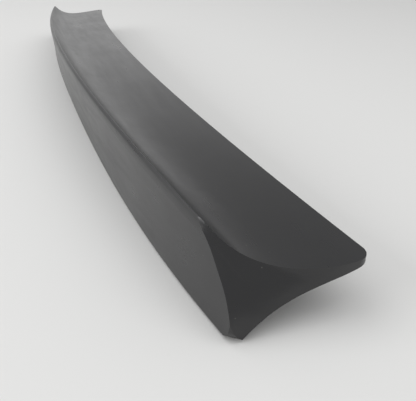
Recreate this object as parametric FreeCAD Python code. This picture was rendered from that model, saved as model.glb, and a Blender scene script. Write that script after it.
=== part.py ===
import FreeCAD, Part
import os

V = FreeCAD.Vector
os.makedirs("parts", exist_ok=True)

# One hollow moulding, in mm: X across the car, Y towards its front, Z up from the surface it lies on.
# Overall sizes. The lip line and the front edge share one bow in plan and one crown in height.
half_width = 650.0
lip_height = 110.0
front_height = 86.8
chord = 122.4
bow = 59.0
crown = 27.9

# Concave top surface: reach of its curve handles from the lip and from the front edge.
lip_run = 22.4
lip_drop = 39.3
front_run = 47.0

# Lip edge and the sloped band below it, which rolls over into the rear face.
lip_radius = 1.0
band_out_mid = 3.6
band_out_end = 1.4
band_drop = 5.9
band_round = 5.0

# Rear foot line that lands on the boot lid, measured from the lip at the middle.
foot_inset = 9.7
foot_bow = 18.4
foot_hook = 20.8
foot_radius = 4.0
corner_radius = 14.0
corner_bite = 0.7

# Rounded end: the lip leaves its straight run here and sweeps round to the front tip.
sweep_start = 80.0
sweep_rear_reach = 50.5
sweep_end_reach = 47.0
sweep_splay = 11.7
end_set_in = 1.0
tip_radius = 12.0

# Arched lower edge of the end wall, from the foot corner up to the front tip.
arch_start = 57.7
arch_rise_y = 23.0
arch_rise_z = 26.0
arch_fall_y = 55.0
arch_fall_z = 12.5
tip_thickness = 3.4

# Moulding: skin thickness and the bonding flange along the foot.
wall = 3.5
end_wall = 4.2
flange_width = 22.0
flange_thickness = 3.5

margin = 15.0
stations = (-1.04, -0.9, -0.7, -0.45, -0.2, 0.0, 0.2, 0.45, 0.7, 0.9, 1.04)


def bezier(points):
    curve = Part.BezierCurve()
    curve.setPoles(points)
    return curve


def spline(points):
    curve = Part.BSplineCurve()
    curve.interpolate(points)
    return curve.toShape()


def polyline(points):
    return [Part.makeLine(a, b) for a, b in zip(points, points[1:])]


def top_curve(drop=0.0):
    # Section of the top surface at the middle, from the front edge back to the lip.
    nose = V(0, lip_radius * 1.866, lip_height - lip_radius * 0.5)
    return bezier([V(0, chord, front_height - drop), V(0, chord - front_run, front_height - drop),
                   V(0, lip_run, lip_height - lip_drop - drop), nose])


def top_height(x, y):
    # Height of the top surface at a place in plan.
    share = x / half_width
    run = y - bow * share**2
    curve = top_curve()
    low, high = 0.0, 1.0
    for step in range(40):
        middle = (low + high) / 2
        if curve.value(middle).y > run:
            low = middle
        else:
            high = middle
    return curve.value(low).z - crown * share**2


def place(share):
    # Shift of a section along the bow and the crown.
    return V(share * half_width, bow * share**2, -crown * share**2)


def foot_at(share):
    return V(share * half_width, foot_inset + foot_bow * share**2 + foot_hook * share**4, 0)


def band_at(share):
    # Lower corner of the band behind the lip.
    out = band_out_mid + (band_out_end - band_out_mid) * share**2
    return place(share) + V(0, -out, lip_height - band_drop)


def outer_section(share):
    at = place(share)
    foot = foot_at(share)
    corner = band_at(share)
    top = top_curve().toShape()
    top.translate(at)
    nose_top = at + V(0, lip_radius * 1.866, lip_height - lip_radius * 0.5)
    nose_mid = at + V(0, lip_radius * 1.052, lip_height - lip_radius * 0.001)
    nose_rear = at + V(0, lip_radius * 0.227, lip_height - lip_radius * 0.366)
    nose = Part.Arc(nose_top, nose_mid, nose_rear).toShape()
    down = (foot - corner).normalize()
    upper = corner + (nose_rear - corner) * 0.45
    lower = corner + down * band_round
    roll = bezier([upper, corner, lower]).toShape()
    front = at + V(0, chord, front_height)
    low = foot + down * (margin / -down.z)
    rest = polyline([lower, low, V(at.x, front.y, -margin), front])
    return Part.Wire([top, nose, Part.makeLine(nose_rear, upper), roll] + rest)


def core_section(share):
    at = place(share)
    foot = foot_at(share)
    front = at + V(0, chord + margin, front_height - wall)
    corner = band_at(share) + V(0, 1.5 * wall, -1.5 * wall)
    lip_handle = at + V(0, lip_run + wall, lip_height - lip_drop + 1.5 * wall)
    top = bezier([front, front - V(0, front_run + margin, 0), lip_handle, corner]).toShape()
    flange = foot + V(0, flange_width, flange_thickness)
    below = V(at.x, flange.y, -margin)
    rest = polyline([corner, foot + V(0, wall, flange_thickness), flange, below,
                     V(at.x, front.y, -margin), front])
    return Part.Wire([top] + rest)


def sweep_plan():
    # Plan of the lip round the right end, with a run-out behind it that stays clear of the rear face.
    share = 1 - sweep_start / half_width
    start = place(share)
    slope = V(1, 2 * bow * share / half_width, 0).normalize()
    end = V(half_width - 1.7, chord + bow, 0)
    curve = bezier([V(start.x, start.y, 0), V(start.x, start.y, 0) + slope * sweep_rear_reach,
                    end + V(sweep_splay, -sweep_end_reach, 0), end])
    plan = [curve.value(t) for t in (0.11, 0.3, 0.46, 0.6, 0.74, 0.88, 1.0)]
    leave = plan[0]
    out = [leave + V(-150, -57, 0), leave + V(-80, -30, 0), leave + V(-35, -12.5, 0)]
    return out + plan + [end + V(-2, margin, 0)]


def end_block(inset, rises):
    # Everything between the two end walls; each wall leans in as it rises, up to the lip.
    foot_x = half_width - end_set_in
    wires = []
    for rise in rises:
        side = []
        for point in sweep_plan():
            lean = min(max(rise, 0.0), 1.0)**2
            height = rise * top_height(point.x, point.y)
            if rise < 0:
                height = -margin
            if rise > 1:
                height = lip_height + margin
            side.append(V(foot_x - (foot_x - point.x) * lean - inset, point.y, height))
        other = [V(-p.x, p.y, p.z) for p in reversed(side)]
        across = Part.makeLine(side[-1], other[0])
        back = Part.makeLine(other[-1], side[0])
        wires.append(Part.Wire([spline(side), across, spline(other), back]))
    return Part.makeLoft(wires, True, False)


def foot_corners(radius):
    # What lies outside the foot corners at the two ends, which are rounded in plan and underneath.
    along = V(half_width, 2 * foot_bow + 4 * foot_hook, 0).normalize()
    out = (along + V(0, -1, 0)).normalize()
    axis = V(-out.y, out.x, 0)
    inset = corner_radius - corner_bite
    clear = corner_radius + margin
    centre = V(half_width - end_set_in, foot_at(1).y, 0) + (V(0, 1, 0) - along) * (inset / along.x)

    foot = centre - V(0, 0, margin)
    rear = foot + V(along.y, -along.x, 0) * clear
    side = foot + V(clear, 0, 0)
    outline = Part.makePolygon([foot, rear, V(side.x, rear.y, foot.z), side, foot])
    plan = Part.Face(outline).extrude(V(0, 0, lip_height))
    plan = plan.cut(Part.makeCylinder(radius, lip_height, foot))

    start = centre + V(0, 0, inset) - axis * clear
    drop = V(0, 0, -clear)
    outline = Part.makePolygon([start, start + out * clear, start + out * clear + drop, start + drop, start])
    chin = Part.Face(outline).extrude(axis * 2 * clear)
    chin = chin.cut(Part.makeCylinder(radius, 2 * clear, start, axis))
    return [plan, chin, plan.mirror(V(), V(1, 0, 0)), chin.mirror(V(), V(1, 0, 0))]


def edges_near(shape, x, y, z, reach, longer):
    found = []
    for edge in shape.Edges:
        c = edge.CenterOfMass
        if abs(abs(c.x) - x) < reach and abs(c.y - y) < reach and abs(c.z - z) < reach and edge.Length > longer:
            found.append(edge)
    return found


# Solid form: the swept section between the end walls, flat below, with the tips rounded in plan.
tip_y = chord + bow
rises = (0.0, 0.25, 0.5, 0.75, 1.0, 2.0)
body = Part.makeLoft([outer_section(s) for s in stations], True, False).common(end_block(0, rises)).Solids[0]
body = body.makeFillet(tip_radius, edges_near(body, half_width, tip_y, tip_thickness + 27, 8, 40)).Solids[0]

body = body.cut(foot_corners(corner_radius)).Solids[0]

# Hollow: open below and in front, with the bonding flange left along the foot.
inside = end_block(end_wall, (-1.0,) + rises)
core = Part.makeLoft([core_section(s) for s in stations], True, False).common(inside)
core = core.cut(foot_corners(corner_radius - wall))
shell = body.cut(core)

# Arched lower edges of the two end walls.
tip_z = front_height - crown - tip_thickness
reach = half_width + margin
arch = [V(-reach, arch_start, 0), V(-reach, arch_start + arch_rise_y, arch_rise_z),
        V(-reach, tip_y + margin - arch_fall_y, tip_z - arch_fall_z), V(-reach, tip_y + margin, tip_z + 3)]
below = [arch[3], V(-reach, tip_y + margin, -margin), V(-reach, arch_start, -margin), arch[0]]
opening = Part.Face(Part.Wire([bezier(arch).toShape()] + polyline(below)))
shell = shell.cut(opening.extrude(V(2 * reach, 0, 0))).Solids[0]

# Rounded outer edge along the foot.
foot_mid = foot_inset + foot_bow / 3 + foot_hook / 5
shell = shell.makeFillet(foot_radius, edges_near(shell, 0, foot_mid, 0, 2.5, half_width)).Solids[0]

# The origin goes to the middle of the footprint.
box = shell.optimalBoundingBox(False, False)
shell.translate(V(0, -(box.YMin + box.YMax) / 2, -box.ZMin))
print("spoiler", shell.isValid(), round(shell.Volume), shell.CenterOfMass, box)
shell.exportStep("parts/spoiler_body.step")
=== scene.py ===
import math
import bmesh
import bpy
from mathutils import Matrix, Vector

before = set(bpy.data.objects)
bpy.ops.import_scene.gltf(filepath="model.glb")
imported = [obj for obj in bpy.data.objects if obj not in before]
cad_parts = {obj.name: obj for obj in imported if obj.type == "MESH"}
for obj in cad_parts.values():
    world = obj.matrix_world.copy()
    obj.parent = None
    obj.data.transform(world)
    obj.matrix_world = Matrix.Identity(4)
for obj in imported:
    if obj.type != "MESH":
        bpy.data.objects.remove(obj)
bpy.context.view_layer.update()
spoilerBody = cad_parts["spoiler_body"]
print("frame loaded")


def linear(hexColour):
    values = []
    for i in (1, 3, 5):
        c = int(hexColour[i:i + 2], 16) / 255
        values.append(c / 12.92 if c <= 0.04045 else ((c + 0.055) / 1.055) ** 2.4)
    return (*values, 1)


def addNode(tree, kind, settings=None, links=None):
    node = tree.nodes.new(kind)
    for name, value in (settings or {}).items():
        if isinstance(name, int) or name in node.inputs:
            node.inputs[name].default_value = value
        else:
            setattr(node, name, value)
    for name, source in (links or {}).items():
        tree.links.new(source, node.inputs[name])
    return node.outputs


# glass fibre moulded with a satin black gelcoat: wide soft highlights, wiped patches, fine scuffs, a few
# specks of dust; where the skin faces down, rough resin with the fibres showing
# patterns: size in mm, detail, stretch; orange peel is finer than this, and drawn coarser so that it shows
moulding = {
    "dark": "#131315", "light": "#1b1b1d", "dust": "#4a4946", "resin": "#1d1c1a",
    "ior": 1.62, "roughLow": 0.27, "roughHigh": 0.35, "roughInside": 0.62,
    "patterns": {
        "patch": (110.0, 5.0, (1, 1, 1)),
        "wipe": (14.0, 4.0, (0.12, 1, 1)),
        "peel": (3.5, 2.0, (1, 1, 1)),
        "wave": (160.0, 1.0, (1, 1, 1)),
        "fibre": (6.0, 6.0, (1, 0.3, 1)),
    },
    "patternRoughness": 0.6,
    "speckMm": 12.0, "speckEdge": (0.055, 0.035),
    "facesDown": (-0.35, -0.6),
    "rubbed": (0.75, 1.25),
    "waveStrength": 0.15, "waveDepthMm": 1.5,
    "peelStrength": 0.05, "peelDepthMm": 0.4,
    "fibreDepthMm": 0.8,
}


def mouldingMaterial(s):
    mat = bpy.data.materials.new("satin_black_moulding")
    mat.use_nodes = True
    tree = mat.node_tree
    shader = tree.nodes["Principled BSDF"]
    shader.inputs["IOR"].default_value = s["ior"]
    coords = addNode(tree, "ShaderNodeTexCoord")

    # 1 on the underside, 0 elsewhere
    facing = addNode(tree, "ShaderNodeSeparateXYZ", links={"Vector": coords["Normal"]})["Z"]
    below = addNode(tree, "ShaderNodeMapRange", {"From Min": s["facesDown"][0], "From Max": s["facesDown"][1]},
                    {"Value": facing})["Result"]

    pattern = {}
    for name, (sizeMm, detail, stretch) in s["patterns"].items():
        spread = addNode(tree, "ShaderNodeMapping", {"Scale": stretch}, {"Vector": coords["Object"]})["Vector"]
        pattern[name] = addNode(
            tree, "ShaderNodeTexNoise",
            {"Scale": 1000 / sizeMm, "Detail": detail, "Roughness": s["patternRoughness"]}, {"Vector": spread})["Fac"]
    dots = addNode(tree, "ShaderNodeTexVoronoi", {"Scale": 1000 / s["speckMm"], "Randomness": 1.0},
                   {"Vector": coords["Object"]})["Distance"]
    speck = addNode(tree, "ShaderNodeMapRange", {"From Min": s["speckEdge"][0], "From Max": s["speckEdge"][1]},
                    {"Value": dots})["Result"]

    # colour sockets of a Mix node: 6 and 7 in, 2 out
    skin = addNode(tree, "ShaderNodeMix", {"data_type": "RGBA", 6: linear(s["dark"]), 7: linear(s["light"])},
                   {"Factor": pattern["patch"]})[2]
    dusty = addNode(tree, "ShaderNodeMix", {"data_type": "RGBA", 7: linear(s["dust"])}, {"Factor": speck, 6: skin})[2]
    colour = addNode(tree, "ShaderNodeMix", {"data_type": "RGBA", 7: linear(s["resin"])},
                     {"Factor": below, 6: dusty})[2]
    tree.links.new(colour, shader.inputs["Base Color"])

    rubbed = addNode(tree, "ShaderNodeMath", {"operation": "ADD"}, {0: pattern["patch"], 1: pattern["wipe"]})["Value"]
    satin = addNode(tree, "ShaderNodeMapRange",
                    {"From Min": s["rubbed"][0], "From Max": s["rubbed"][1],
                     "To Min": s["roughLow"], "To Max": s["roughHigh"]}, {"Value": rubbed})["Result"]
    rough = addNode(tree, "ShaderNodeMix", {"B": s["roughInside"]}, {"Factor": below, "A": satin})["Result"]
    tree.links.new(rough, shader.inputs["Roughness"])

    wave = addNode(tree, "ShaderNodeBump", {"Strength": s["waveStrength"], "Distance": s["waveDepthMm"] / 1000},
                   {"Height": pattern["wave"]})["Normal"]
    peel = addNode(tree, "ShaderNodeBump", {"Strength": s["peelStrength"], "Distance": s["peelDepthMm"] / 1000},
                   {"Height": pattern["peel"], "Normal": wave})["Normal"]
    fibre = addNode(tree, "ShaderNodeBump", {"Distance": s["fibreDepthMm"] / 1000},
                    {"Strength": below, "Height": pattern["fibre"], "Normal": peel})["Normal"]
    tree.links.new(fibre, shader.inputs["Normal"])
    return mat


spoilerBody.material_slots[0].material = mouldingMaterial(moulding)
print("moulding done")

# plain pale floor
floorSheet = {"half": 7, "colour": "#dededd", "rough": 0.7}
scene = bpy.context.scene
sheet = bmesh.new()
bmesh.ops.create_grid(sheet, x_segments=1, y_segments=1, size=floorSheet["half"])
floor = bpy.data.objects.new("floor", bpy.data.meshes.new("floor"))
sheet.to_mesh(floor.data)
sheet.free()
scene.collection.objects.link(floor)
floorMat = bpy.data.materials.new("pale_floor")
floorMat.use_nodes = True
floorShader = floorMat.node_tree.nodes["Principled BSDF"]
floorShader.inputs["Base Color"].default_value = linear(floorSheet["colour"])
floorShader.inputs["Roughness"].default_value = floorSheet["rough"]
floor.data.materials.append(floorMat)

# soft studio light: place, aim, width and height in metres, watts, seen in reflections
worldStrength = 0.55
softboxes = {
    "key": ((-0.4, -0.9, 2.3), (0, -0.1, 0), 2.4, 2.0, 17.0, True),
    "fill": ((1.3, 0.8, 1.9), (0.6, 0, 0), 1.6, 1.6, 11.0, False),  # lightens the shadow
    "side": ((0.1, -3.0, 1.5), (0, -0.3, 0), 3.0, 1.4, 44.0, True),
    "far": ((-2.6, 0.4, 0.9), (0, 0, 0.1), 2.6, 1.4, 4.5, True),
}
world = bpy.data.worlds.new("studio")
scene.world = world
world.use_nodes = True
world.node_tree.nodes["Background"].inputs["Color"].default_value = (1, 1, 1, 1)
world.node_tree.nodes["Background"].inputs["Strength"].default_value = worldStrength
for name, (place, aim, width, height, watts, reflected) in softboxes.items():
    data = bpy.data.lights.new(name, "AREA")
    data.shape = "RECTANGLE"
    data.size = width
    data.size_y = height
    data.energy = watts
    lamp = bpy.data.objects.new(name, data)
    scene.collection.objects.link(lamp)
    lamp.location = place
    lamp.rotation_euler = (Vector(aim) - Vector(place)).to_track_quat("-Z", "Y").to_euler()
    lamp.visible_glossy = reflected
scene.view_settings.view_transform = "Standard"
print("stage done")

# camera at the photograph's place, angles in degrees
view = {"place": (0.9595, -0.1661, 0.3269), "yaw": -19.49, "pitch": 29.12, "roll": -0.91,
        "focalPx": 540.0, "widthPx": 416, "sensorMm": 36.0, "nearest": 0.01}
yaw, pitch, roll = (math.radians(view[k]) for k in ("yaw", "pitch", "roll"))
ahead = Vector((-math.cos(pitch) * math.cos(yaw), -math.cos(pitch) * math.sin(yaw), -math.sin(pitch)))
level = ahead.cross(Vector((0, 0, 1))).normalized()
above = level.cross(ahead)
right = level * math.cos(roll) + above * math.sin(roll)
up = above * math.cos(roll) - level * math.sin(roll)
camData = bpy.data.cameras.new("camera")
camData.sensor_width = view["sensorMm"]
camData.lens = view["focalPx"] / view["widthPx"] * view["sensorMm"]
camData.clip_start = view["nearest"]
camera = bpy.data.objects.new("camera", camData)
scene.collection.objects.link(camera)
turn = Matrix((right, up, -ahead)).transposed().to_4x4()
camera.matrix_world = Matrix.Translation(view["place"]) @ turn
scene.camera = camera
print("camera done")
